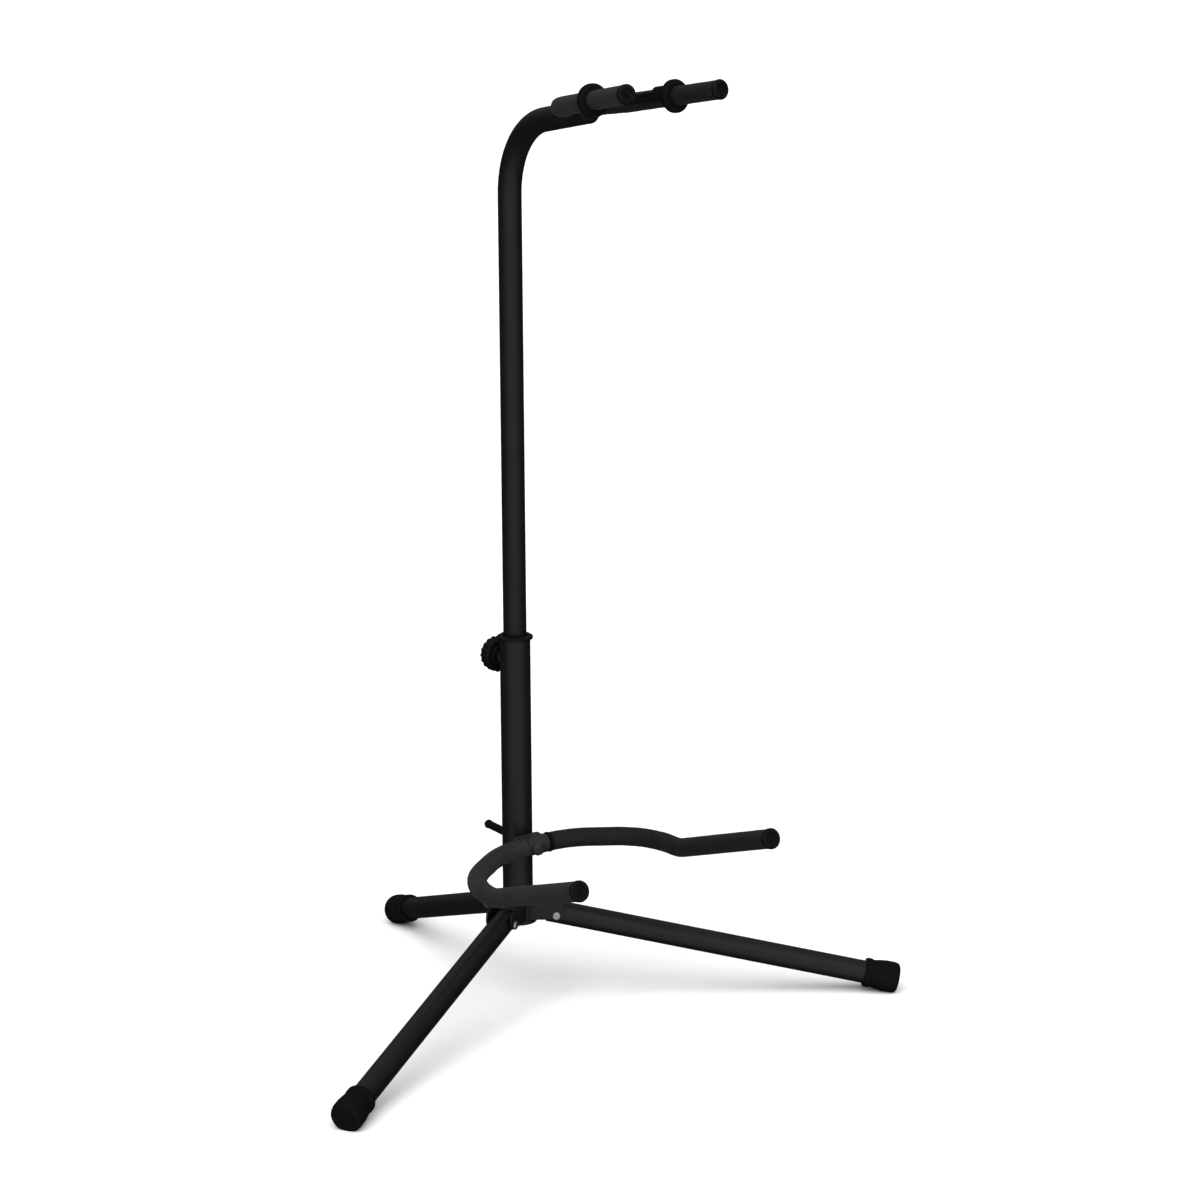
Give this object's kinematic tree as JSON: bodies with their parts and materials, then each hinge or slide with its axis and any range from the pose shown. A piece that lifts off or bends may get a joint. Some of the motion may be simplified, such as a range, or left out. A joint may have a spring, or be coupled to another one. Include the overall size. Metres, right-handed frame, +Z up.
{
  "type": "guitar stand",
  "caption": "Folding tubular guitar stand: a telescopic gooseneck mast with a padded neck yoke, a padded cradle for the body and a low folding tripod of legs with rubber boots.",
  "frame": {"origin": "on the floor, at the middle of the whole stand's box, 13.5 mm in front of the mast's axis", "axes": "+Z up along the mast; -Y to the front, where the guitar leans; +X to the stand's right as seen from the front"},
  "size_m": [0.5364, 0.4502, 0.7637],
  "materials": {
    "coated_steel": "semi-gloss black powder coat",
    "bright_steel": "bright zinc-plated steel",
    "black_plastic": "moulded black plastic, satin",
    "black_rubber": "matte black rubber",
    "foam": "matte black closed-cell foam tube"
  },
  "bodies": {
    "base": {"lower_mast_tube": "coated_steel", "mast_collar": "black_plastic", "knob_boss": "coated_steel", "leg_hub": "coated_steel", "hub_plug": "black_plastic", "leg_rivet_left": "bright_steel", "leg_rivet_right": "bright_steel", "leg_rivet_rear": "bright_steel", "pivot_bolt": "coated_steel", "pivot_nut": "bright_steel", "pivot_end_cap": "black_rubber"},
    "foot_bush": {"tube_foot_bush": "black_plastic"},
    "upper_mast": {"upper_mast_tube": "coated_steel", "gooseneck_plug": "black_plastic", "yoke_rod": "coated_steel", "yoke_foam_left": "foam", "yoke_foam_right": "foam", "yoke_ring_left": "black_rubber", "yoke_ring_right": "black_rubber", "yoke_cap_left": "black_plastic", "yoke_cap_right": "black_plastic", "neck_strap": "black_rubber"},
    "knob": {"knob_grip": "black_plastic", "knob_stud": "bright_steel"},
    "cradle": {"cradle_rod": "coated_steel", "cradle_bracket": "coated_steel", "foam_end_ring": "black_rubber", "cradle_foam_left": "foam", "cradle_foam_right": "foam", "cradle_cap_left": "black_plastic", "cradle_cap_right": "black_plastic"},
    "leg_left": {"leg_tube_left": "coated_steel", "leg_boot_left": "black_rubber"},
    "leg_right": {"leg_tube_right": "coated_steel", "leg_boot_right": "black_rubber"},
    "leg_rear": {"leg_tube_rear": "coated_steel", "leg_boot_rear": "black_rubber"}
  },
  "joints": [
    {"name": "height_slide", "type": "slide", "parent": "base", "child": "foot_bush", "axis": [0, 0, 1], "range_m": [-0.065, 0.05]},
    {"name": "gooseneck_swivel", "type": "hinge", "parent": "foot_bush", "child": "upper_mast", "pos_m": [0, 0.01352, 0.212], "axis": [0, 0, 1], "continuous": true},
    {"name": "knob_turn", "type": "hinge", "parent": "base", "child": "knob", "pos_m": [0, 0.03352, 0.285], "axis": [0, 1, 0], "range_deg": [0, 720]},
    {"name": "cradle_turn", "type": "hinge", "parent": "base", "child": "cradle", "pos_m": [0, -0.01098, 0.1334], "axis": [0, 1, 0], "range_deg": [0, 90]},
    {"name": "leg_left_fold", "type": "hinge", "parent": "base", "child": "leg_left", "pos_m": [-0.02653, -0.00437, 0.0694], "axis": [0.5592, -0.829, 0], "range_deg": [0, 77]},
    {"name": "leg_right_fold", "type": "hinge", "parent": "base", "child": "leg_right", "pos_m": [0.02653, -0.00437, 0.0694], "axis": [0.5592, 0.829, 0], "range_deg": [0, 77]},
    {"name": "leg_rear_fold", "type": "hinge", "parent": "base", "child": "leg_rear", "pos_m": [0, 0.04552, 0.0694], "axis": [-1, 0, 0], "range_deg": [0, 71]}
  ]
}
